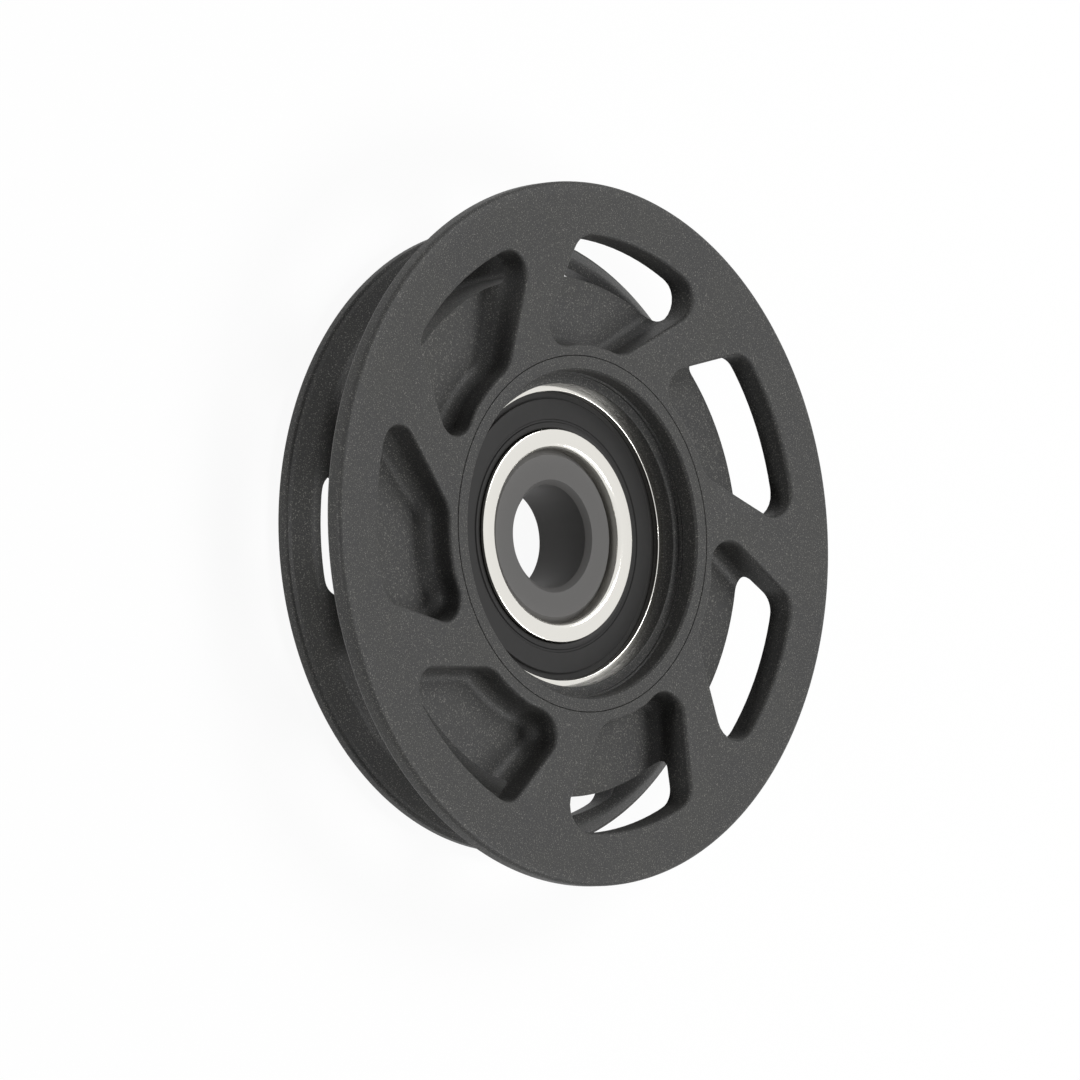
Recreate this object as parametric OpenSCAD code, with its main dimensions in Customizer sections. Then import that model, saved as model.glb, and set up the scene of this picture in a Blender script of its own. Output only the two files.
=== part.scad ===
// Chain guide roller: a two-piece nylon roller that turns on a sealed thin-section bearing
// and a plain axle sleeve. It lies flat: the roller's axis is Z, the larger front flange is up,
// and Z = 0 is the rear end of the axle sleeve.

/* [Roller] */
// Diameter of the larger front flange
front_flange_d = 68; // [50:0.5:90]
// Diameter of the smaller rear flange
rear_flange_d = 61; // [44:0.5:84]
// Width of the roller from the rear face to the front face
roller_w = 11.9; // [10:0.1:20]
// Thickness of the front flange at its rim
front_rim_t = 1.6; // [1:0.1:3]
// Thickness of the rear flange at its rim
rear_rim_t = 1.5; // [1:0.1:3]
// Diameter of the groove's root, where the chain runs
groove_root_d = 50.6; // [44:0.2:60]
// Width of the groove at its root
groove_root_w = 5.2; // [3:0.1:8]
// Radius of the small rounding on the rims
rim_round = 0.35; // [0.1:0.05:0.6]
// Radius of the fillet at the groove's root
root_fillet = 0.8; // [0.2:0.1:1.5]

/* [Windows] */
// Number of windows in each flange
window_count = 7; // [5:1:9]
// Radius of the windows' inner edge
window_in_r = 18.4; // [17.8:0.1:20]
// Radius of the front windows' outer edge
front_window_out_r = 28.7; // [26.5:0.1:31]
// Radius of the rear windows' outer edge
rear_window_out_r = 28; // [26.5:0.1:29]
// Angle that a window's inner edge takes up
window_in_angle = 32; // [20:1:38]
// Angle that a front window's outer edge takes up
front_window_out_angle = 33; // [20:1:38]
// Angle that a rear window's outer edge takes up
rear_window_out_angle = 27; // [20:1:38]
// Turn of a window's outer edge against its inner edge
window_lean = 12.5; // [0:0.5:20]
// Radius of the windows' corners
window_corner_r = 1.9; // [0.8:0.1:2.4]
// Depth of the front pockets below the front face
front_pocket_depth = 4.3; // [3:0.1:5]
// Depth of the rear pockets above the rear face
rear_pocket_depth = 3.4; // [2.5:0.1:4]

/* [Hub] */
// Diameter of the hub barrel, which shows as a joint line on the front face
hub_d = 34.4; // [33:0.1:36]
// Diameter of the hub's front bore
hub_bore_d = 31.6; // [31:0.1:32.5]
// Diameter of the lip that the bearing seats against
hub_lip_d = 29.4; // [28:0.1:29.8]
// Depth of the hub's front bore below the front face
hub_bore_depth = 2.8; // [1:0.1:4]
// Depth of the lip's front edge below the bore's ledge
hub_lip_step = 0.3; // [0.1:0.1:0.6]

/* [Bearing] */
// Outside diameter of the bearing
bearing_od = 30; // [26:1:32]
// Bore diameter of the bearing
bearing_id = 17; // [15:1:20]
// Width of the bearing
bearing_w = 7; // [5:1:8]
// Number of balls
ball_count = 12; // [8:1:14]
// Diameter of a ball
ball_d = 3.5; // [2.5:0.1:4]

/* [Axle sleeve] */
// Diameter of the sleeve's through hole
sleeve_bore_d = 10; // [6:0.5:12]
// Length of the sleeve
sleeve_l = 7.2; // [6:0.1:9]
// How far the sleeve's rear end stands out of the bearing
sleeve_rear_out = 1; // [0:0.1:2]
// Chamfer on the sleeve's outer edges
sleeve_chamfer = 0.64; // [0.2:0.02:1]
// Chamfer on the sleeve's hole
sleeve_bore_chamfer = 0.5; // [0.2:0.1:1]

/* [Fits] */
// Radial gap between the hub barrel and the two halves
hub_gap = 0.05; // [0.02:0.01:0.1]
// Radial gap round a ball in its races
race_gap = 0.02; // [0.01:0.01:0.05]
// Gap between a seal's lip and the inner ring
seal_gap = 0.1; // [0.05:0.01:0.2]

/* [Hidden] */
$fn = 96;

// Levels, from the sleeve's rear end up
bearing_z0 = sleeve_rear_out;
bearing_z1 = bearing_z0 + bearing_w;
lip_front_gap = 1.4;
lip_z1 = bearing_z1 + lip_front_gap;
front_z = lip_z1 + hub_lip_step + hub_bore_depth - 0.1;
rear_z = front_z - roller_w;
front_floor_z = front_z - front_pocket_depth;
rear_floor_z = rear_z + rear_pocket_depth;
parting_z = (front_floor_z + rear_floor_z) / 2;

// Groove flanks: the root, the break where a flank steepens, and the rim
root_r = groove_root_d / 2;
rear_root_z = rear_floor_z - 0.3;
front_root_z = rear_root_z + groove_root_w;
flank_root_w = 3.3;
flank_break_r = root_r + flank_root_w;
flank_slope = 0.06;
front_flank_z = front_root_z + flank_slope * flank_root_w;
rear_flank_z = rear_root_z - flank_slope * flank_root_w;

hub_r = hub_d / 2;
hub_mouth_r = hub_bore_d / 2 + 0.5;
hub_mouth_h = 0.9;
seat_r = bearing_od / 2;
rear_mouth = 0.4;
ledge_w = 0.2;

ball_pitch_r = (bearing_od + bearing_id) / 4;
race_r = ball_d / 2 + race_gap;
ball_z = bearing_z0 + bearing_w / 2;
ring_edge = 0.3;
inner_ring_wall = 1.85;
inner_ring_out_r = bearing_id / 2 + inner_ring_wall;
inner_ring_edge = 0.6;
outer_ring_wall = 1.9;
outer_land_r = seat_r - outer_ring_wall;
seal_seat_wall = 0.97;
seal_seat_r = seat_r - seal_seat_wall;
seal_seat_depth = 1.1;
seal_rim_gap = 0.67;
seal_out_r = seal_seat_r - seal_rim_gap;
seal_inset = 0.3;
seal_foot = 0.45;
seal_foot_gap = 0.03;
cage_half_w = 0.55;
cage_low = 2.2;
cage_high = 0.4;
cage_pocket_gap = 0.05;

// Angles at which a window's outer edge gives way to its sharp and blunt corners
sharp_trim = 7;
blunt_trim = 4;

// Points of an arc, as [x, y]
function arc(centre, r, from, to, steps) =
    [for (i = [0:steps]) let (a = from + (to - from) * i / steps) centre + r * [cos(a), sin(a)]];

function polar(r, a) = r * [cos(a), sin(a)];

function unit(v) = v / norm(v);

// Points that round the corner at b, between its neighbours a and c
function rounded_corner(a, b, c, r, steps = 5) =
    let (u = unit(a - b), v = unit(c - b), half = acos(u * v) / 2,
         middle = b + unit(u + v) * r / sin(half),
         first = b + u * r / tan(half) - middle,
         last = b + v * r / tan(half) - middle,
         from = atan2(first[1], first[0]),
         turn = atan2(first[0] * last[1] - first[1] * last[0], first * last))
    [for (i = [0:steps]) middle + polar(r, from + turn * i / steps)];

// Outline of one leaning window about the +X axis
function window_outline(out_r, out_angle) =
    let (shift = window_lean / 2,
         a0 = shift - window_in_angle / 2,
         a1 = shift + window_in_angle / 2,
         b0 = -shift - out_angle / 2,
         b1 = -shift + out_angle / 2,
         p = [polar(window_in_r, a1), polar(window_in_r, a0), polar(out_r, b0), polar(out_r, b1)],
         in_arc = arc([0, 0], window_in_r, a1 - sharp_trim * 1.5, a0 + blunt_trim * 1.5, 3),
         out_arc = arc([0, 0], out_r, b0 + sharp_trim, b1 - blunt_trim, 4))
    concat(in_arc,
           rounded_corner(in_arc[3], p[1], p[2], window_corner_r),
           rounded_corner(p[1], p[2], out_arc[0], window_corner_r),
           out_arc,
           rounded_corner(out_arc[4], p[3], p[0], window_corner_r),
           rounded_corner(p[3], p[0], in_arc[0], window_corner_r));

// The seven pockets of one flange, cut from floor_z out past face_z
module pockets(out_r, out_angle, floor_z, face_z) {
    low = min(floor_z, face_z - 1);
    depth = abs(face_z - floor_z) + 1;
    for (k = [0:window_count - 1])
        rotate([0, 0, 270 + k * 360 / window_count])
            translate([0, 0, low])
                linear_extrude(depth) polygon(window_outline(out_r, out_angle));
}

module front_half() {
    rim_r = front_flange_d / 2;
    profile = concat(
        [[hub_r + hub_gap, parting_z], [root_r, parting_z]],
        arc([root_r + root_fillet, front_root_z - root_fillet], root_fillet, 180, 90, 4),
        [[flank_break_r, front_flank_z]],
        [[rim_r - rim_round, front_z - front_rim_t]],
        arc([rim_r - rim_round, front_z - rim_round], rim_round, 0, 90, 4),
        [[hub_r + hub_gap, front_z]]);
    color("#2b2b2c")
    difference() {
        rotate_extrude() polygon(profile);
        pockets(front_window_out_r, front_window_out_angle, front_floor_z, front_z);
    }
}

module rear_half() {
    rim_r = rear_flange_d / 2;
    profile = concat(
        [[hub_r + hub_gap, rear_z]],
        arc([rim_r - rim_round, rear_z + rim_round], rim_round, 270, 360, 4),
        [[rim_r, rear_z + rear_rim_t], [rim_r - rim_round, rear_z + rear_rim_t + rim_round]],
        [[flank_break_r, rear_flank_z]],
        arc([root_r + root_fillet, rear_root_z + root_fillet], root_fillet, 270, 180, 4),
        [[root_r, parting_z], [hub_r + hub_gap, parting_z]]);
    color("#2b2b2c")
    difference() {
        rotate_extrude() polygon(profile);
        pockets(rear_window_out_r, rear_window_out_angle, rear_floor_z, rear_z);
    }
}

module hub_barrel() {
    bore_r = hub_bore_d / 2;
    lip_r = hub_lip_d / 2;
    ledge_z = lip_z1 + hub_lip_step;
    color("#2b2b2c")
    rotate_extrude() polygon([
        [seat_r + rear_mouth, rear_z], [hub_r, rear_z], [hub_r, front_z], [hub_mouth_r, front_z],
        [bore_r, front_z - hub_mouth_h], [bore_r, ledge_z], [bore_r - ledge_w, ledge_z],
        [bore_r - ledge_w, lip_z1], [lip_r, lip_z1], [lip_r, bearing_z1], [seat_r, bearing_z1],
        [seat_r, rear_z + rear_mouth]]);
}

// Half of a ring's section is drawn and mirrored about the balls' level
module about_balls() {
    translate([0, 0, ball_z]) {
        children();
        mirror([0, 0, 1]) children();
    }
}

module bearing_outer_ring() {
    half_w = bearing_w / 2;
    groove_h = sqrt(pow(race_r, 2) - pow(outer_land_r - ball_pitch_r, 2));
    color("#d9d9d6")
    about_balls()
        rotate_extrude() polygon(concat(
            [[seat_r, 0], [seat_r, half_w - ring_edge], [seat_r - ring_edge, half_w],
             [seal_seat_r, half_w], [seal_seat_r, half_w - seal_seat_depth],
             [outer_land_r, half_w - seal_seat_depth], [outer_land_r, groove_h]],
            arc([ball_pitch_r, 0], race_r, asin(groove_h / race_r), 0, 6)));
}

module bearing_inner_ring() {
    half_w = bearing_w / 2;
    bore_r = bearing_id / 2;
    groove_h = sqrt(pow(race_r, 2) - pow(ball_pitch_r - inner_ring_out_r, 2));
    color("#e4e2dc")
    about_balls()
        rotate_extrude() polygon(concat(
            [[bore_r, 0]],
            arc([ball_pitch_r, 0], race_r, 180, 180 - asin(groove_h / race_r), 6),
            [[inner_ring_out_r, half_w - 0.1], [inner_ring_out_r - 0.1, half_w],
             [bore_r + inner_ring_edge, half_w], [bore_r, half_w - inner_ring_edge]]));
}

module ball(number) {
    color("#dcdcdc")
    rotate([0, 0, (number - 1) * 360 / ball_count])
        translate([ball_pitch_r, 0, ball_z]) sphere(d = ball_d, $fn = 48);
}

module ball_cage() {
    color("#3d3b36")
    difference() {
        rotate_extrude()
            translate([ball_pitch_r - cage_half_w, ball_z - cage_low])
                square([2 * cage_half_w, cage_low + cage_high]);
        for (k = [0:ball_count - 1])
            rotate([0, 0, k * 360 / ball_count])
                translate([ball_pitch_r, 0, ball_z])
                    sphere(r = ball_d / 2 + cage_pocket_gap, $fn = 48);
    }
}

// A seal's section, with z counted from the bearing's face inwards
module seal_ring() {
    lip_r = inner_ring_out_r + seal_gap;
    rotate_extrude() polygon([
        [lip_r, seal_inset], [seal_out_r, seal_inset],
        [seal_out_r, seal_seat_depth - seal_foot], [seal_seat_r - seal_foot_gap, seal_seat_depth - seal_foot],
        [seal_seat_r - seal_foot_gap, seal_seat_depth], [lip_r, seal_seat_depth]]);
}

module front_seal() {
    color("#4a4a4a") translate([0, 0, bearing_z1]) mirror([0, 0, 1]) seal_ring();
}

module rear_seal() {
    color("#4a4a4a") translate([0, 0, bearing_z0]) seal_ring();
}

module axle_sleeve() {
    out_r = bearing_id / 2;
    bore_r = sleeve_bore_d / 2;
    color("#77777a")
    rotate_extrude() polygon([
        [bore_r + sleeve_bore_chamfer, 0], [out_r - sleeve_chamfer, 0], [out_r, sleeve_chamfer],
        [out_r, sleeve_l - sleeve_chamfer], [out_r - sleeve_chamfer, sleeve_l],
        [bore_r + sleeve_bore_chamfer, sleeve_l], [bore_r, sleeve_l - sleeve_bore_chamfer],
        [bore_r, sleeve_bore_chamfer]]);
}

function ball_node(number) = str("ball_", number < 10 ? "0" : "", number);

front_half();
rear_half();
hub_barrel();
bearing_outer_ring();
bearing_inner_ring();
ball_cage();
for (number = [1:ball_count])
    ball(number);
front_seal();
rear_seal();
axle_sleeve();
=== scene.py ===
"""The looks of the chain guide roller, on the frame that the CAD model gives.

The roller lies flat with its axis along Z and its larger flange up. Sizes inside the classes
are in millimetres, as in part.scad, and MM turns them into metres.
"""

import logging
import math
from collections.abc import Callable
from dataclasses import dataclass, field
from enum import Enum

import bmesh
import bpy
from mathutils import Matrix, Vector

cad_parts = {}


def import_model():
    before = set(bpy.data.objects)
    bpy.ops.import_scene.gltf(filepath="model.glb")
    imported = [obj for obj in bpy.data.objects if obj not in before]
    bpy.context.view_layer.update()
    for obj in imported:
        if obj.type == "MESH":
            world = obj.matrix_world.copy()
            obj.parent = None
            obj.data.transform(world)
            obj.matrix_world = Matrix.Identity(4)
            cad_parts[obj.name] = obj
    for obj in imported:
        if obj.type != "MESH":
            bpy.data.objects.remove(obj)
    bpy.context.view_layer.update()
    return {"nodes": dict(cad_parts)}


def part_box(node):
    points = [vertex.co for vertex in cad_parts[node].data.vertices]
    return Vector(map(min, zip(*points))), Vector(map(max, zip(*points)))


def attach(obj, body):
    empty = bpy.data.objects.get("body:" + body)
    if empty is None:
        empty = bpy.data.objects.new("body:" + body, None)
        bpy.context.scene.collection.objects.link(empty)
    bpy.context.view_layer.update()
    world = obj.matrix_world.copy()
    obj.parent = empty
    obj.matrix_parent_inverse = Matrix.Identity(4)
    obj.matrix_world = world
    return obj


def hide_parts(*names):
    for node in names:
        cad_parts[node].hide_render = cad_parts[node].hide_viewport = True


MM = 0.001
LOG = logging.getLogger("roller")
Place = tuple[float, float, float]


def mm_box(node: str) -> tuple[Vector, Vector]:
    """Gives a CAD node's box in millimetres.

    Args:
        node: the CAD node's name.

    Returns:
        The lowest and the highest corner.
    """
    low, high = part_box(node)
    return Vector(low) / MM, Vector(high) / MM


def linear(code: str) -> tuple[float, float, float, float]:
    """Turns an sRGB hex colour into a linear colour.

    Args:
        code: the colour, such as "#2b2b2c".

    Returns:
        Red, green, blue and alpha, linear.
    """
    parts = [int(code[i : i + 2], 16) / 255 for i in (1, 3, 5)]
    red, green, blue = (c / 12.92 if c <= 0.04045 else ((c + 0.055) / 1.055) ** 2.4 for c in parts)
    return red, green, blue, 1.0


def add_node(
    tree: bpy.types.NodeTree, kind: str, settings: dict | None = None, inputs: dict | None = None
) -> bpy.types.Node:
    """Adds a shader node with its settings and links.

    Args:
        tree: the node tree.
        kind: the node's type, without the leading ShaderNode.
        settings: attributes of the node.
        inputs: sockets by name or number, each with a value or with a socket to link from.

    Returns:
        The new node.
    """
    node = tree.nodes.new("ShaderNode" + kind)
    for name, value in (settings or {}).items():
        setattr(node, name, value)
    for name, value in (inputs or {}).items():
        if isinstance(value, bpy.types.NodeSocket):
            tree.links.new(value, node.inputs[name])
        else:
            node.inputs[name].default_value = value
    return node


def new_material(name: str) -> tuple[bpy.types.Material, bpy.types.NodeTree, bpy.types.NodeSocket]:
    """Starts a material with a node for object coordinates.

    Args:
        name: the material's name.

    Returns:
        The material, its node tree and the socket with object coordinates in metres.
    """
    material = bpy.data.materials.new(name)
    material.use_nodes = True
    material.node_tree.nodes.clear()
    place = add_node(material.node_tree, "TexCoord").outputs["Object"]
    return material, material.node_tree, place


def close_material(tree: bpy.types.NodeTree, shader: bpy.types.Node) -> None:
    """Links a shader to a new output node.

    Args:
        tree: the node tree.
        shader: the shader node.
    """
    add_node(tree, "OutputMaterial", inputs={"Surface": shader.outputs[0]})


def per_mm(size: float) -> float:
    """Gives the noise scale whose features are about that many millimetres across."""
    return 1 / (size * MM)


@dataclass(frozen=True)
class GrainedNylon:
    """Black glass-filled nylon, moulded in a spark-eroded tool: a fine even grain that sparkles,
    the sparkle partly painted: bright flecks carry the glass fibres' pale tone and painted glints.
    """

    name: str = "glass_filled_nylon"
    base: str = "#343435"
    worn: str = "#3b3b39"
    # the flecks' colour: the glass fibres' pale tone with their glints painted in
    fibre_and_glint: str = "#94928c"
    # how far across a cloud, a fleck and a grain are, in millimetres
    mottle: float = 5.0
    fleck: float = 0.12
    grain: float = 0.2
    grain_depth: float = 0.03
    # the noise at which a fleck starts and is full, and how much of the fibres' pale tone and
    # painted glint it has then
    fleck_start: float = 0.56
    fleck_full: float = 0.74
    fleck_share: float = 0.5
    roughness: float = 0.5
    sheen: float = 0.2

    def build(self) -> bpy.types.Material:
        """Makes the material.

        Returns:
            The material.
        """
        material, tree, place = new_material(self.name)
        cloud = add_node(
            tree, "TexNoise", inputs={"Vector": place, "Scale": per_mm(self.mottle), "Detail": 3.0}
        )
        tint = add_node(
            tree,
            "Mix",
            {"data_type": "RGBA"},
            {0: cloud.outputs["Fac"], 6: linear(self.base), 7: linear(self.worn)},
        )
        # the glass fibres at the surface are thinner than a pixel, so they are drawn coarser, as
        # bright flecks that paint both their pale tone and their glints into the colour
        flecks = add_node(
            tree, "TexNoise", inputs={"Vector": place, "Scale": per_mm(self.fleck), "Detail": 1.0}
        )
        bright = add_node(
            tree,
            "MapRange",
            {"interpolation_type": "SMOOTHSTEP"},
            {
                "Value": flecks.outputs["Fac"],
                "From Min": self.fleck_start,
                "From Max": self.fleck_full,
                "To Max": self.fleck_share,
            },
        )
        # painted glints: the flecks lighten the colour towards the fibres' pale tone with their
        # glints painted in
        speckled = add_node(
            tree,
            "Mix",
            {"data_type": "RGBA"},
            {0: bright.outputs[0], 6: tint.outputs[2], 7: linear(self.fibre_and_glint)},
        )
        # the grain that the spark-eroded tool leaves breaks up every highlight
        grain = add_node(
            tree, "TexNoise", inputs={"Vector": place, "Scale": per_mm(self.grain), "Detail": 2.0}
        )
        bump = add_node(
            tree,
            "Bump",
            inputs={
                "Height": grain.outputs["Fac"],
                "Strength": 0.9,
                "Distance": self.grain_depth * MM,
            },
        )
        rough = add_node(
            tree,
            "MapRange",
            inputs={
                "Value": grain.outputs["Fac"],
                "From Min": 0.3,
                "From Max": 0.7,
                "To Min": self.roughness - 0.08,
                "To Max": self.roughness + 0.1,
            },
        )
        shader = add_node(
            tree,
            "BsdfPrincipled",
            inputs={
                "Base Color": speckled.outputs[2],
                "Roughness": rough.outputs[0],
                "Normal": bump.outputs[0],
                "IOR": 1.53,
                "Specular IOR Level": self.sheen,
            },
        )
        close_material(tree, shader)
        return material


@dataclass(frozen=True)
class RingSteel:
    """Hardened bearing steel, ground and polished: a bright mirror with fine grinding marks."""

    name: str = "bearing_steel"
    colour: str = "#e2e0da"
    roughness: float = 0.12
    marks: float = 0.08

    def build(self) -> bpy.types.Material:
        """Makes the material.

        Returns:
            The material.
        """
        material, tree, place = new_material(self.name)
        # grinding marks run round the ring, so the noise is read by the distance from its axis
        flat = add_node(tree, "VectorMath", {"operation": "MULTIPLY"}, {0: place, 1: (1, 1, 0)})
        radius = add_node(tree, "VectorMath", {"operation": "LENGTH"}, {0: flat.outputs[0]})
        marks = add_node(
            tree,
            "TexNoise",
            {"noise_dimensions": "1D"},
            {"W": radius.outputs["Value"], "Scale": per_mm(self.marks), "Detail": 2.0},
        )
        rough = add_node(
            tree,
            "MapRange",
            inputs={
                "Value": marks.outputs["Fac"],
                "To Min": self.roughness - 0.05,
                "To Max": self.roughness + 0.08,
            },
        )
        bump = add_node(
            tree,
            "Bump",
            inputs={"Height": marks.outputs["Fac"], "Strength": 0.25, "Distance": 0.002 * MM},
        )
        shader = add_node(
            tree,
            "BsdfPrincipled",
            inputs={
                "Base Color": linear(self.colour),
                "Metallic": 1.0,
                "Roughness": rough.outputs[0],
                "Normal": bump.outputs[0],
            },
        )
        close_material(tree, shader)
        return material


@dataclass(frozen=True)
class SealRubber:
    """Nitrile rubber, compression moulded on a steel washer: matt dark grey with a faint cloud."""

    name: str = "nitrile_rubber"
    base: str = "#1b1b1a"
    dusty: str = "#232222"
    cloud: float = 1.2
    grain: float = 0.15

    def build(self) -> bpy.types.Material:
        """Makes the material.

        Returns:
            The material.
        """
        material, tree, place = new_material(self.name)
        cloud = add_node(
            tree, "TexNoise", inputs={"Vector": place, "Scale": per_mm(self.cloud), "Detail": 4.0}
        )
        tint = add_node(
            tree,
            "Mix",
            {"data_type": "RGBA"},
            {0: cloud.outputs["Fac"], 6: linear(self.base), 7: linear(self.dusty)},
        )
        # the mould's matt surface is finer than a pixel, so it is drawn 0.15 mm across
        grain = add_node(
            tree, "TexNoise", inputs={"Vector": place, "Scale": per_mm(self.grain), "Detail": 2.0}
        )
        bump = add_node(
            tree,
            "Bump",
            inputs={"Height": grain.outputs["Fac"], "Strength": 0.5, "Distance": 0.01 * MM},
        )
        shader = add_node(
            tree,
            "BsdfPrincipled",
            inputs={
                "Base Color": tint.outputs[2],
                "Roughness": 0.55,
                "Normal": bump.outputs[0],
                "IOR": 1.52,
                "Specular IOR Level": 0.2,
            },
        )
        close_material(tree, shader)
        return material


@dataclass(frozen=True)
class SleeveAluminium:
    """Turned aluminium with a matt grey hard-anodised skin: an even satin grey."""

    name: str = "anodised_aluminium"
    colour: str = "#5a5958"
    grain: float = 0.12

    def build(self) -> bpy.types.Material:
        """Makes the material.

        Returns:
            The material.
        """
        material, tree, place = new_material(self.name)
        # the blasted skin under the anodising is finer than a pixel, so it is drawn 0.12 mm across
        grain = add_node(
            tree, "TexNoise", inputs={"Vector": place, "Scale": per_mm(self.grain), "Detail": 2.0}
        )
        bump = add_node(
            tree,
            "Bump",
            inputs={"Height": grain.outputs["Fac"], "Strength": 0.35, "Distance": 0.006 * MM},
        )
        shader = add_node(
            tree,
            "BsdfPrincipled",
            inputs={
                "Base Color": linear(self.colour),
                "Metallic": 0.1,
                "Roughness": 0.5,
                "Specular IOR Level": 0.25,
                "Normal": bump.outputs[0],
            },
        )
        close_material(tree, shader)
        return material


@dataclass(frozen=True)
class CageNylon:
    """Brown moulded nylon of the ball cage, smooth and slightly waxy."""

    name: str = "cage_nylon"
    colour: str = "#4a3c2a"
    cloud: float = 1.0

    def build(self) -> bpy.types.Material:
        """Makes the material.

        Returns:
            The material.
        """
        material, tree, place = new_material(self.name)
        cloud = add_node(
            tree, "TexNoise", inputs={"Vector": place, "Scale": per_mm(self.cloud), "Detail": 3.0}
        )
        rough = add_node(
            tree,
            "MapRange",
            inputs={"Value": cloud.outputs["Fac"], "To Min": 0.35, "To Max": 0.5},
        )
        shader = add_node(
            tree,
            "BsdfPrincipled",
            inputs={"Base Color": linear(self.colour), "Roughness": rough.outputs[0], "IOR": 1.53},
        )
        close_material(tree, shader)
        return material


class Finish(Enum):
    """The finishes of the roller, each with a name."""

    NYLON = "nylon"
    RING = "bearing_steel"
    BALL = "ball_steel"
    CAGE = "cage_nylon"
    SEAL = "seal_rubber"
    SLEEVE = "sleeve_aluminium"


@dataclass
class Wardrobe:
    """Makes each finish once."""

    made: dict[Finish, bpy.types.Material] = field(default_factory=dict)

    def get(self, finish: Finish) -> bpy.types.Material:
        """Gives the material of a finish.

        Args:
            finish: which finish.

        Returns:
            The material, made at the first call.
        """
        recipes = {
            Finish.NYLON: GrainedNylon(),
            Finish.RING: RingSteel(),
            Finish.BALL: RingSteel(name="ball_steel", colour="#dedede", roughness=0.1),
            Finish.CAGE: CageNylon(),
            Finish.SEAL: SealRubber(),
            Finish.SLEEVE: SleeveAluminium(),
        }
        if finish not in self.made:
            self.made[finish] = recipes[finish].build()
        return self.made[finish]


@dataclass(frozen=True)
class Corner:
    """One corner of a profile: radius and height from the axis, and how far it is rounded."""

    r: float
    z: float
    round: float = 0.0


def unit(v: Vector) -> Vector:
    """Gives a vector's direction."""
    return v.normalized()


def rounded(points: list[Place], steps: int = 5) -> list[Vector]:
    """Rounds the corners of a flat closed outline.

    Args:
        points: x, y and rounding radius of each corner.
        steps: segments in each rounded corner.

    Returns:
        The outline's points.
    """
    out: list[Vector] = []
    count = len(points)
    for i, (x, y, r) in enumerate(points):
        here = Vector((x, y))
        if r <= 0:
            out.append(here)
            continue
        before = Vector(points[i - 1][:2])
        after = Vector(points[(i + 1) % count][:2])
        u, v = unit(before - here), unit(after - here)
        half = math.acos(max(-1.0, min(1.0, u.dot(v)))) / 2
        middle = here + unit(u + v) * (r / math.sin(half))
        first = here + u * (r / math.tan(half)) - middle
        last = here + v * (r / math.tan(half)) - middle
        turn = math.atan2(first.x * last.y - first.y * last.x, first.dot(last))
        start = math.atan2(first.y, first.x)
        angles = [start + turn * k / steps for k in range(steps + 1)]
        out += [middle + Vector((math.cos(a), math.sin(a))) * r for a in angles]
    return out


def inset(points: list[Vector], distance: float) -> list[Vector]:
    """Moves a smooth closed outline inwards.

    Args:
        points: the outline.
        distance: how far each point moves; below zero it moves outwards.

    Returns:
        The moved points, as many as before.
    """
    turn = sum(a.x * b.y - a.y * b.x for a, b in zip(points, points[1:] + points[:1]))
    side = distance if turn > 0 else -distance
    moved = []
    for i, here in enumerate(points):
        along = unit(points[(i + 1) % len(points)] - points[i - 1])
        moved.append(here + Vector((-along.y, along.x)) * side)
    return moved


def revolve(corners: list[Corner], segments: int = 256, steps: int = 5) -> bmesh.types.BMesh:
    """Spins a closed profile round the Z axis.

    Args:
        corners: the profile's corners in order.
        segments: steps round the axis.
        steps: segments in each rounded corner.

    Returns:
        A bmesh in metres, with faces that point outwards.
    """
    outline = rounded([(c.r, c.z, c.round) for c in corners], steps)
    bm = bmesh.new()
    verts = [bm.verts.new((p.x * MM, 0, p.y * MM)) for p in outline]
    edges = [bm.edges.new((verts[i], verts[(i + 1) % len(verts)])) for i in range(len(verts))]
    bmesh.ops.spin(
        bm,
        geom=verts + edges,
        cent=(0, 0, 0),
        axis=(0, 0, 1),
        angle=math.tau,
        steps=segments,
        use_merge=True,
    )
    bmesh.ops.remove_doubles(bm, verts=bm.verts, dist=0.001 * MM)
    bmesh.ops.recalc_face_normals(bm, faces=bm.faces)
    return bm


def make_object(name: str, bm: bmesh.types.BMesh) -> bpy.types.Object:
    """Turns a bmesh into an object in the scene.

    Args:
        name: the object's name.
        bm: the mesh, which is freed.

    Returns:
        The object.
    """
    mesh = bpy.data.meshes.new(name)
    bm.to_mesh(mesh)
    bm.free()
    obj = bpy.data.objects.new(name, mesh)
    bpy.context.scene.collection.objects.link(obj)
    return obj


def smooth(obj: bpy.types.Object, degrees: float = 32) -> None:
    """Shades an object smooth with sharp edges past an angle.

    Args:
        obj: the object.
        degrees: the angle past which an edge stays sharp.
    """
    obj.data.shade_smooth()
    obj.data.set_sharp_from_angle(angle=math.radians(degrees))


def cut(obj: bpy.types.Object, cutter: bpy.types.Object) -> None:
    """Subtracts a closed mesh from an object, and deletes the cutter.

    Args:
        obj: the object that is cut.
        cutter: the object that is taken away from it.
    """
    modifier = obj.modifiers.new("cut", "BOOLEAN")
    modifier.operation = "DIFFERENCE"
    modifier.solver = "EXACT"
    modifier.object = cutter
    graph = bpy.context.evaluated_depsgraph_get()
    mesh = bpy.data.meshes.new_from_object(obj.evaluated_get(graph))
    old = obj.data
    obj.modifiers.clear()
    obj.data = mesh
    mesh.name = old.name
    bpy.data.meshes.remove(old)
    bpy.data.objects.remove(cutter)


def dress(
    obj: bpy.types.Object, material: bpy.types.Material, finish: Finish, body: str, *nodes: str
) -> None:
    """Gives a new piece its material and its body, and hides the CAD nodes that it stands for.

    Args:
        obj: the piece.
        material: its material.
        finish: not used.
        body: the CAD body that it rides on.
        nodes: the CAD nodes that it replaces.
    """
    obj.data.materials.clear()
    obj.data.materials.append(material)
    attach(obj, body)
    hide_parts(*nodes)
    LOG.info("%s stands for %s on %s", obj.name, ", ".join(nodes), body)


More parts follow.
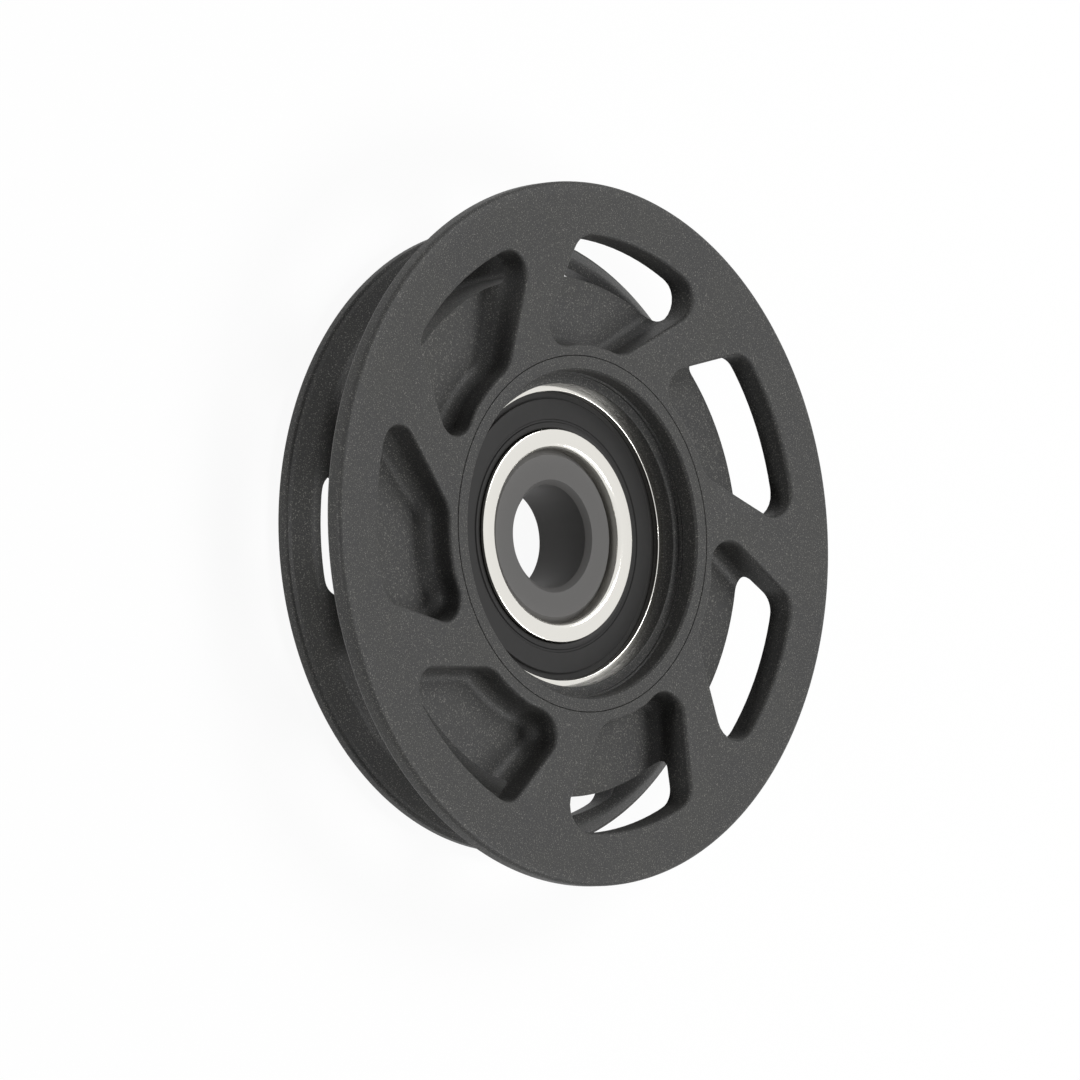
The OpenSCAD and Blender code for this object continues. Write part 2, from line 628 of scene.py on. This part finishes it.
@dataclass(frozen=True)
class Window:
    """One leaning window, drawn about +X and turned to its place.

    Its inner and its outer edge are arcs round the axis, each as wide as its angle, and the lean
    turns the one against the other. Angles are in degrees.
    """

    in_r: float
    out_r: float
    in_angle: float
    out_angle: float
    lean: float
    corner: float = 2.3
    wide_corner: float = 3.0
    fillet: float = 1.3
    rim: float = 0.4
    inner_steps: int = 6
    outer_steps: int = 10
    corner_steps: int = 8
    fillet_steps: int = 6
    # how far the rim's rounding has turned at each ring, in radians: it ends just short of
    # the face's own direction, so that the cut stays clean
    rim_turns: tuple[float, ...] = (0.0, 0.3, 0.6, 0.9, 1.15, 1.4)
    # what each arc ends short of a corner's rounding, in degrees
    spare: float = 1.5

    def outline(self) -> list[Vector]:
        """Gives the rounded outline about the +X axis.

        Returns:
            The outline's points in millimetres.
        """
        shift = self.lean / 2
        a0, a1 = shift - self.in_angle / 2, shift + self.in_angle / 2
        b0, b1 = -shift - self.out_angle / 2, -shift + self.out_angle / 2
        inner, outer = self.in_r, self.out_r
        points = [self.at(inner, a1, self.corner)]
        points += self.sweep(
            inner,
            a1 - self.trim(inner, a1, outer, b1, -1, self.corner),
            a0 + self.trim(inner, a0, outer, b0, 1, self.wide_corner),
            self.inner_steps,
        )
        points.append(self.at(inner, a0, self.wide_corner))
        points.append(self.at(outer, b0, self.corner))
        points += self.sweep(
            outer,
            b0 + self.trim(outer, b0, inner, a0, 1, self.corner),
            b1 - self.trim(outer, b1, inner, a1, -1, self.corner),
            self.outer_steps,
        )
        points.append(self.at(outer, b1, self.corner))
        return rounded(points, self.corner_steps)

    def trim(
        self, r: float, angle: float, far_r: float, far_angle: float, way: int, corner: float
    ) -> float:
        """Gives the angle of arc that the rounding of a corner takes up.

        Args:
            r: the corner's radius from the axis.
            angle: the corner's angle in degrees.
            far_r: the radius of the corner at the other end of the window's side.
            far_angle: the angle of that corner.
            way: 1 where the arc runs to higher angles from the corner, else -1.
            corner: the rounding's radius.

        Returns:
            The angle in degrees, with a little to spare.
        """
        here = Vector(self.at(r, angle)[:2])
        side = unit(Vector(self.at(far_r, far_angle)[:2]) - here)
        along = Vector(self.at(1.0, angle + way * 90)[:2])
        half = math.acos(max(-1.0, min(1.0, side.dot(along)))) / 2
        return math.degrees(corner / math.tan(half) / r) + self.spare

    @staticmethod
    def at(r: float, angle: float, corner: float = 0.0) -> Place:
        """Gives a point by radius and angle in degrees, with its rounding."""
        return (r * math.cos(math.radians(angle)), r * math.sin(math.radians(angle)), corner)

    def sweep(self, r: float, start: float, end: float, steps: int) -> list[Place]:
        """Gives the points of an arc round the axis.

        Args:
            r: its radius.
            start: its first angle in degrees.
            end: its last angle in degrees.
            steps: its segments.

        Returns:
            The points, unrounded.
        """
        return [self.at(r, start + (end - start) * k / steps) for k in range(steps + 1)]

    def cutter(
        self,
        name: str,
        floor: float,
        face: Callable[[float], float],
        up: float,
        count: int,
        start: float,
    ) -> bpy.types.Object:
        """Makes the solids that cut all the pockets of a flange.

        Args:
            name: the cutter's name.
            floor: the pocket floor's height.
            face: gives the height of the flange's face that the pockets open to, by radius.
            up: 1 or -1, the way from the floor to the face along Z.
            count: the number of pockets.
            start: the first pocket's place round the axis, in degrees.

        Returns:
            One object with all the cutters.
        """
        outline = self.outline()
        rings = []
        for k in range(self.fillet_steps + 1):
            turn = math.radians(90 * k / self.fillet_steps)
            height = floor + up * self.fillet * (1 - math.cos(turn))
            moved = inset(outline, self.fillet * (1 - math.sin(turn)))
            rings.append([Vector((p.x, p.y, height)) for p in moved])
        for turn in self.rim_turns:
            drop = up * self.rim * (1 - math.sin(turn))
            moved = inset(outline, -self.rim * (1 - math.cos(turn)))
            rings.append([Vector((p.x, p.y, face(p.length) - drop)) for p in moved])
        # the cutter stands a millimetre out of the face
        rings.append([Vector((p.x, p.y, p.z + up)) for p in rings[-1]])
        bm = bmesh.new()
        loops = []
        for ring in rings:
            verts = [bm.verts.new(p * MM) for p in ring]
            loops.append([bm.edges.new((verts[i - 1], vert)) for i, vert in enumerate(verts)])
        for lower, upper in zip(loops, loops[1:]):
            bmesh.ops.bridge_loops(bm, edges=lower + upper)
        bmesh.ops.edgeloop_fill(bm, edges=loops[0] + loops[-1])
        bmesh.ops.recalc_face_normals(bm, faces=bm.faces)
        bmesh.ops.rotate(
            bm,
            cent=(0, 0, 0),
            matrix=Matrix.Rotation(math.radians(start), 3, "Z"),
            verts=bm.verts,
        )
        bmesh.ops.spin(
            bm,
            geom=bm.verts[:] + bm.edges[:] + bm.faces[:],
            cent=(0, 0, 0),
            axis=(0, 0, 1),
            angle=math.tau * (count - 1) / count,
            steps=count - 1,
            use_duplicate=True,
        )
        return make_object(name, bm)


@dataclass
class RollerBody:
    """The nylon body: two flanged halves with pockets, and the barrel that holds the bearing."""

    wardrobe: Wardrobe
    root_r: float = 25.3
    root_fillet: float = 0.8
    flank_break_r: float = 28.6
    # both halves end at the round joint line beside the barrel
    hub_r: float = 17.2
    hub_gap: float = 0.05
    hub_edge: float = 0.08
    # the front face is dished: its rim stands proud and the hub lies below it
    rim_rise: float = 0.3
    hub_drop: float = 0.9
    dish_in_r: float = 18.0
    dish_out_r: float = 29.6
    # the underside of the front flange, down from the CAD model's front face
    front_root_drop: float = 3.1
    front_flank_drop: float = 2.55
    front_flank_round: float = 1.5
    front_rim_drop: float = 1.5
    front_rim_in: float = 0.15
    front_rim_chamfer: float = 0.3
    front_rim_round: float = 0.2
    # the rounded edge between the front rim and the front face
    front_edge_drop: float = 0.05
    front_edge_in: float = 1.2
    front_edge_round: float = 0.5
    # the inner side of the rear flange, up from the rear face, with a fine step at its rim
    rear_root_rise: float = 3.1
    rear_flank_rise: float = 2.9
    rear_flank_round: float = 1.2
    rear_rim_t: float = 1.1
    rear_edge_in: float = 0.9
    rear_edge_rise: float = 0.1
    rear_edge_round: float = 0.3
    rear_step_round: float = 0.12
    # the step's two corners, in from the rim and up from its edge
    rear_step: Corner = Corner(0.3, 0.1, 0.1)
    rear_step_foot: Corner = Corner(0.45, 0.5, 0.15)
    window_count: int = 7
    window_start: float = 272.5
    front_pocket: float = 4.3
    rear_pocket: float = 3.4
    front_window: Window = Window(18.4, 28.85, 38, 38, 18)
    rear_window: Window = Window(18.4, 27.9, 34, 27, 9, 2.2, 2.5, 1.3, 0.3)
    # the barrel: the front bore, the lip that the bearing stops at, and the bearing's seat
    bore_r: float = 15.8
    bore_mouth: float = 0.2
    bore_mouth_depth: float = 0.25
    bore_step: float = 0.2
    bore_step_z: float = 9.7
    lip_r: float = 14.7
    lip_low: float = 8.0
    lip_high: float = 9.4
    seat_r: float = 15.0
    seat_mouth: float = 0.4
    barrel_edge: float = 0.1
    barrel_corner: float = 0.05
    # read from the frame
    front_z: float = field(init=False)
    hub_z: float = field(init=False)
    rear_z: float = field(init=False)
    parting_z: float = field(init=False)
    front_r: float = field(init=False)
    rear_r: float = field(init=False)

    def build(self) -> None:
        """Makes and dresses both halves and the barrel."""
        front_low, front_high = mm_box("front_half")
        rear_low, rear_high = mm_box("rear_half")
        self.front_z = front_high.z
        self.hub_z = front_high.z - self.hub_drop
        self.rear_z = rear_low.z
        self.parting_z = front_low.z
        self.front_r = front_high.x
        self.rear_r = rear_high.x
        self.front()
        self.rear()
        self.barrel()

    def dress_nylon(self, obj: bpy.types.Object, node: str) -> None:
        """Gives a nylon piece its finish.

        Args:
            obj: the piece.
            node: the CAD node that it stands for.
        """
        smooth(obj)
        dress(obj, self.wardrobe.get(Finish.NYLON), Finish.NYLON, "roller", node)

    def front(self) -> None:
        """Makes the front half, with the larger flange."""
        z, r = self.front_z, self.front_r
        top = z + self.rim_rise
        hub = self.hub_r + self.hub_gap
        rim_low = z - self.front_rim_drop
        profile = [
            Corner(hub, self.parting_z),
            Corner(self.root_r, self.parting_z),
            Corner(self.root_r, z - self.front_root_drop, self.root_fillet),
            Corner(self.flank_break_r, z - self.front_flank_drop, self.front_flank_round),
            Corner(r - self.front_rim_in, rim_low, self.front_rim_chamfer),
            Corner(r, rim_low + self.front_rim_chamfer, self.front_rim_round),
            Corner(r, top - self.front_edge_drop, self.front_edge_round),
            Corner(r - self.front_edge_in, top, self.front_edge_round),
            Corner(self.dish_out_r, top),
            Corner(self.dish_in_r, self.hub_z),
            Corner(hub, self.hub_z, self.hub_edge),
        ]

        def face(radius: float) -> float:
            """Gives the dished face's height at a radius."""
            share = (radius - self.dish_in_r) / (self.dish_out_r - self.dish_in_r)
            return self.hub_z + (top - self.hub_z) * max(0.0, min(1.0, share))

        body = make_object("front_half_shell", revolve(profile))
        floor = z - self.front_pocket
        window, count, start = self.front_window, self.window_count, self.window_start
        cut(body, window.cutter("front_cutter", floor, face, 1.0, count, start))
        self.dress_nylon(body, "front_half")

    def rear(self) -> None:
        """Makes the rear half, with the smaller flange."""
        z, r = self.rear_z, self.rear_r
        hub = self.hub_r + self.hub_gap
        rim_top = z + self.rear_rim_t
        step, foot = self.rear_step, self.rear_step_foot
        profile = [
            Corner(hub, z),
            Corner(r - self.rear_edge_in, z),
            Corner(r, z + self.rear_edge_rise, self.rear_edge_round),
            Corner(r, rim_top, self.rear_step_round),
            Corner(r - step.r, rim_top + step.z, step.round),
            Corner(r - foot.r, rim_top + foot.z, foot.round),
            Corner(self.flank_break_r, z + self.rear_flank_rise, self.rear_flank_round),
            Corner(self.root_r, z + self.rear_root_rise, self.root_fillet),
            Corner(self.root_r, self.parting_z),
            Corner(hub, self.parting_z),
        ]
        body = make_object("rear_half_shell", revolve(profile))
        floor = z + self.rear_pocket
        window, count, start = self.rear_window, self.window_count, self.window_start
        cut(body, window.cutter("rear_cutter", floor, lambda _: z, -1.0, count, start))
        self.dress_nylon(body, "rear_half")

    def barrel(self) -> None:
        """Makes the hub barrel, with the bearing's seat, the lip and the front bore."""
        z, top = self.rear_z, self.hub_z
        edge, corner = self.barrel_edge, self.barrel_corner
        step_r = self.bore_r - self.bore_step
        profile = [
            Corner(self.seat_r + self.seat_mouth, z),
            Corner(self.hub_r, z),
            Corner(self.hub_r, top, self.hub_edge),
            Corner(self.bore_r + self.bore_mouth, top, edge),
            Corner(self.bore_r, top - self.bore_mouth_depth, edge),
            Corner(self.bore_r, self.bore_step_z, corner),
            Corner(step_r, self.bore_step_z, corner),
            Corner(step_r, self.lip_high, corner),
            Corner(self.lip_r, self.lip_high, edge),
            Corner(self.lip_r, self.lip_low),
            Corner(self.seat_r, self.lip_low),
            Corner(self.seat_r, z + self.seat_mouth),
        ]
        obj = make_object("hub_barrel_shell", revolve(profile))
        self.dress_nylon(obj, "hub_barrel")


@dataclass
class Bearing:
    """The sealed thin-section bearing: rings, seals, balls and cage."""

    wardrobe: Wardrobe
    outer_r: float = 15.0
    outer_round: float = 0.3
    bore_r: float = 8.5
    bore_round: float = 0.5
    inner_r: float = 10.35
    land_r: float = 13.1
    land_round: float = 0.1
    race_r: float = 1.77
    race_steps: int = 12
    seal_seat_r: float = 14.03
    seal_seat: float = 1.1
    seal_seat_round: float = 0.08
    seal_out_r: float = 13.36
    seal_out_round: float = 0.15
    seal_gap: float = 0.03
    seal_inset: float = 0.3
    seal_step: float = 0.35
    # the seal's lip runs just off the inner ring, with a fine groove round it
    lip_gap: float = 0.1
    lip_slope: float = 0.3
    lip_drop: float = 0.1
    groove_in: float = 0.55
    groove_out: float = 0.9
    groove_slope: float = 0.1
    groove_depth: float = 0.12
    seal_round: float = 0.05
    segments: int = 192
    sharp_angle: float = 28
    ball_count: int = 12
    ball_segments: int = 32
    ball_rings: int = 20
    ball_sharp_angle: float = 60
    # read from the frame
    low: float = field(init=False)
    high: float = field(init=False)

    @property
    def mid(self) -> float:
        """Gives the height of the balls' centres."""
        return (self.low + self.high) / 2

    @property
    def pitch_r(self) -> float:
        """Gives the radius of the circle that the balls' centres lie on."""
        return (self.outer_r + self.bore_r) / 2

    def build(self, cage: bpy.types.Object) -> None:
        """Makes and dresses every piece of the bearing.

        Args:
            cage: the cage of the CAD model, which is fine enough to keep.
        """
        low, high = mm_box("bearing_outer_ring")
        self.low, self.high = low.z, high.z
        self.outer_ring()
        self.inner_ring()
        self.seal("front_seal", self.high, -1)
        self.seal("rear_seal", self.low, 1)
        self.balls()
        cage.data.materials.clear()
        cage.data.materials.append(self.wardrobe.get(Finish.CAGE))
        LOG.info("%s keeps its CAD mesh", cage.name)

    def race(self, side: float, land: float) -> list[Corner]:
        """Gives the points of a ball race, from low to high.

        Args:
            side: 1 for the outer ring's race, -1 for the inner ring's.
            land: the radius of the land beside the race.

        Returns:
            The race's points.
        """
        half = math.acos(min(1.0, abs(land - self.pitch_r) / self.race_r))
        angles = [half * (2 * k / self.race_steps - 1) for k in range(self.race_steps + 1)]
        depth = side * self.race_r
        return [
            Corner(self.pitch_r + depth * math.cos(a), self.mid + self.race_r * math.sin(a))
            for a in angles
        ]

    def outer_ring(self) -> None:
        """Makes the outer ring, with its race and the seal seats."""
        front_seat, rear_seat = self.high - self.seal_seat, self.low + self.seal_seat
        corners = [
            Corner(self.outer_r, self.low, self.outer_round),
            Corner(self.outer_r, self.high, self.outer_round),
            Corner(self.seal_seat_r, self.high, self.seal_seat_round),
            Corner(self.seal_seat_r, front_seat),
            Corner(self.land_r, front_seat, self.land_round),
        ]
        corners += reversed(self.race(1, self.land_r))
        corners += [
            Corner(self.land_r, rear_seat, self.land_round),
            Corner(self.seal_seat_r, rear_seat),
            Corner(self.seal_seat_r, self.low, self.seal_seat_round),
        ]
        self.finish("outer_ring_steel", corners, Finish.RING, "roller", "bearing_outer_ring")

    def inner_ring(self) -> None:
        """Makes the inner ring, with its race."""
        corners = [
            Corner(self.bore_r, self.high, self.bore_round),
            Corner(self.bore_r, self.low, self.bore_round),
            Corner(self.inner_r, self.low, self.land_round),
        ]
        corners += self.race(-1, self.inner_r)
        corners.append(Corner(self.inner_r, self.high, self.land_round))
        self.finish("inner_ring_steel", corners, Finish.RING, "axle", "bearing_inner_ring")

    def seal(self, node: str, face: float, inwards: float) -> None:
        """Makes a seal: a flat rubber disc with a fine groove by its lip and a stepped rim.

        Args:
            node: the CAD node that it stands for.
            face: the height of the bearing's face.
            inwards: 1 or -1, the way into the bearing along Z.
        """

        def at(r: float, depth: float, rounding: float = 0.0) -> Corner:
            """Gives a corner by its depth below the bearing's face."""
            return Corner(r, face + inwards * depth, rounding)

        lip = self.inner_r + self.lip_gap
        groove_in, groove_out = lip + self.groove_in, lip + self.groove_out
        flat = self.seal_inset
        bottom = flat + self.groove_depth
        rim_r = self.seal_seat_r - self.seal_gap
        corners = [
            at(lip, flat + self.lip_drop, self.seal_round),
            at(lip + self.lip_slope, flat, self.seal_round),
            at(groove_in, flat, self.seal_round),
            at(groove_in + self.groove_slope, bottom, self.seal_round),
            at(groove_out - self.groove_slope, bottom, self.seal_round),
            at(groove_out, flat, self.seal_round),
            at(self.seal_out_r, flat, self.seal_out_round),
            at(self.seal_out_r, flat + self.seal_step),
            at(rim_r, flat + self.seal_step),
            at(rim_r, self.seal_seat),
            at(lip, self.seal_seat),
        ]
        self.finish(node + "_rubber", corners, Finish.SEAL, "roller", node)

    def finish(
        self, name: str, corners: list[Corner], finish: Finish, body: str, node: str
    ) -> None:
        """Revolves a section, shades it and dresses it.

        Args:
            name: the piece's name.
            corners: its section.
            finish: its finish.
            body: the body that it rides on.
            node: the CAD node that it stands for.
        """
        obj = make_object(name, revolve(corners, self.segments))
        smooth(obj, self.sharp_angle)
        dress(obj, self.wardrobe.get(finish), finish, body, node)

    def balls(self) -> None:
        """Makes the balls."""
        for number in range(1, self.ball_count + 1):
            node = f"ball_{number:02d}"
            low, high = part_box(node)
            bm = bmesh.new()
            bmesh.ops.create_uvsphere(
                bm,
                u_segments=self.ball_segments,
                v_segments=self.ball_rings,
                radius=(high[2] - low[2]) / 2,
            )
            bmesh.ops.translate(bm, verts=bm.verts, vec=(Vector(low) + Vector(high)) / 2)
            obj = make_object(f"steel_{node}", bm)
            smooth(obj, self.ball_sharp_angle)
            dress(obj, self.wardrobe.get(Finish.BALL), Finish.BALL, "ball_set", node)


@dataclass
class AxleSleeve:
    """The grey axle sleeve in the inner ring."""

    wardrobe: Wardrobe
    bore_r: float = 5.0
    chamfer: float = 0.64
    chamfer_round: float = 0.08
    bore_chamfer: float = 0.5
    bore_round: float = 0.05
    segments: int = 192
    round_steps: int = 3
    sharp_angle: float = 24

    def build(self) -> None:
        """Makes and dresses the sleeve."""
        low, high = mm_box("axle_sleeve")
        r = high.x
        edge, mouth = self.chamfer, self.bore_chamfer
        outside, inside = self.chamfer_round, self.bore_round
        corners = [
            Corner(self.bore_r + mouth, low.z, inside),
            Corner(r - edge, low.z, outside),
            Corner(r, low.z + edge, outside),
            Corner(r, high.z - edge, outside),
            Corner(r - edge, high.z, outside),
            Corner(self.bore_r + mouth, high.z, inside),
            Corner(self.bore_r, high.z - mouth, inside),
            Corner(self.bore_r, low.z + mouth, inside),
        ]
        obj = make_object("axle_sleeve_metal", revolve(corners, self.segments, self.round_steps))
        smooth(obj, self.sharp_angle)
        dress(obj, self.wardrobe.get(Finish.SLEEVE), Finish.SLEEVE, "axle", "axle_sleeve")


@dataclass
class Studio:
    """The camera, the lights, the white background and the pale floor.

    The camera's angles are in degrees and its lengths in millimetres, the lights' places and
    sizes in metres and their powers in watts.
    """

    azimuth: float = 3.194
    elevation: float = 44.206
    roll: float = 85.424
    distance: float = 680.0
    # how far the picture's centre lies left of and below the front face's centre
    aim_right: float = 4.96
    aim_up: float = 0.685
    lens: float = 235.34
    sensor: float = 36.0
    # the strength of the world's light on the object, and the point that the lights face
    fill: float = 0.04
    target: Place = (0.0, 0.0, 0.006)
    key_out: float = 0.4
    key_back: float = 0.36
    key_height: float = 0.75
    key_size: float = 0.4
    key_power: float = 4.9
    low_place: Place = (0.0, -0.6, 0.05)
    low_size: float = 0.1
    low_power: float = 1.4
    # the floor's colour, half its side, and how much of it shows as plain white
    paper: str = "#fafafa"
    floor_half: float = 4.0
    floor_white: float = 0.94

    def build(self, front_z: float) -> None:
        """Sets up the whole studio.

        Args:
            front_z: the height of the front face, in millimetres.
        """
        self.camera(front_z)
        self.world()
        self.lights()
        self.floor()

    def camera(self, front_z: float) -> None:
        """Makes a camera that stands where the photograph was taken from.

        Args:
            front_z: the height of the front face, in millimetres.
        """
        az, el, roll = (math.radians(v) for v in (self.azimuth, self.elevation, self.roll))
        back = Vector((math.sin(az) * math.cos(el), -math.cos(az) * math.cos(el), math.sin(el)))
        level = Vector((math.cos(az), math.sin(az), 0))
        rise = back.cross(level)
        right = level * math.cos(roll) + rise * math.sin(roll)
        up = rise * math.cos(roll) - level * math.sin(roll)
        aim = Vector((0, 0, front_z)) - right * self.aim_right - up * self.aim_up
        eye = aim + back * self.distance
        data = bpy.data.cameras.new("camera")
        data.lens = self.lens
        data.sensor_width = self.sensor
        data.clip_start = 0.01
        data.clip_end = 20
        camera = bpy.data.objects.new("camera", data)
        turn = Matrix((right, up, back)).transposed().to_4x4()
        camera.matrix_world = Matrix.Translation(eye * MM) @ turn
        bpy.context.scene.collection.objects.link(camera)
        bpy.context.scene.camera = camera

    @staticmethod
    def seen_rays(tree: bpy.types.NodeTree) -> bpy.types.NodeSocket:
        """Gives 1 for rays that show the background: from the camera, off metal or through glass.

        Args:
            tree: the node tree.

        Returns:
            The socket with the value.
        """
        path = add_node(tree, "LightPath")
        total = path.outputs["Is Camera Ray"]
        for kind in ("Is Glossy Ray", "Is Transmission Ray"):
            either = add_node(
                tree, "Math", {"operation": "MAXIMUM"}, {0: total, 1: path.outputs[kind]}
            )
            total = either.outputs[0]
        return total

    def world(self) -> None:
        """Makes a white background, and a dimmer one for the light that falls on the object."""
        world = bpy.data.worlds.new("studio")
        world.use_nodes = True
        tree = world.node_tree
        tree.nodes.clear()
        seen = add_node(tree, "Background", inputs={"Color": (1, 1, 1, 1), "Strength": 1.0})
        lit = add_node(tree, "Background", inputs={"Color": (1, 1, 1, 1), "Strength": self.fill})
        mix = add_node(
            tree,
            "MixShader",
            inputs={0: self.seen_rays(tree), 1: lit.outputs[0], 2: seen.outputs[0]},
        )
        add_node(tree, "OutputWorld", inputs={"Surface": mix.outputs[0]})
        bpy.context.scene.world = world

    def area(self, name: str, place: Place, size: float, power: float) -> None:
        """Adds a square area light that faces the object.

        Args:
            name: the light's name.
            place: where it stands, in metres.
            size: its side, in metres.
            power: its power in watts.
        """
        data = bpy.data.lights.new(name, "AREA")
        data.size = size
        data.energy = power
        light = bpy.data.objects.new(name, data)
        light.location = place
        way = Vector(self.target) - Vector(place)
        light.rotation_euler = way.to_track_quat("-Z", "Y").to_euler()
        bpy.context.scene.collection.objects.link(light)

    def lights(self) -> None:
        """Places two soft keys on the far side, beside what the faces mirror, and a low light."""
        for name, side in (("key left", -1), ("key right", 1)):
            place = (side * self.key_out, self.key_back, self.key_height)
            self.area(name, place, self.key_size, self.key_power)
        # a low light on the camera's side reaches the rims more than the pockets
        self.area("low front", self.low_place, self.low_size, self.low_power)

    def floor(self) -> None:
        """Lays a plain pale floor under the object."""
        bm = bmesh.new()
        bmesh.ops.create_grid(bm, x_segments=1, y_segments=1, size=self.floor_half)
        floor = make_object("floor", bm)
        material, tree, _ = new_material("paper")
        lit = add_node(tree, "BsdfDiffuse", inputs={"Color": linear(self.paper)})
        white = add_node(tree, "Emission", inputs={"Strength": 1.0})
        share = add_node(
            tree, "Math", {"operation": "MULTIPLY"}, {0: self.seen_rays(tree), 1: self.floor_white}
        )
        shader = add_node(
            tree, "MixShader", inputs={0: share.outputs[0], 1: lit.outputs[0], 2: white.outputs[0]}
        )
        close_material(tree, shader)
        floor.data.materials.append(material)


def main() -> None:
    """Builds the roller and its studio."""
    logging.basicConfig(level=logging.INFO, format="%(message)s")
    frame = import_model()
    wardrobe = Wardrobe()
    RollerBody(wardrobe).build()
    Bearing(wardrobe).build(frame["nodes"]["ball_cage"])
    AxleSleeve(wardrobe).build()
    bpy.context.scene.view_settings.view_transform = "Standard"
    Studio().build(mm_box("front_half")[1].z)


if __name__ == "__main__":
    main()
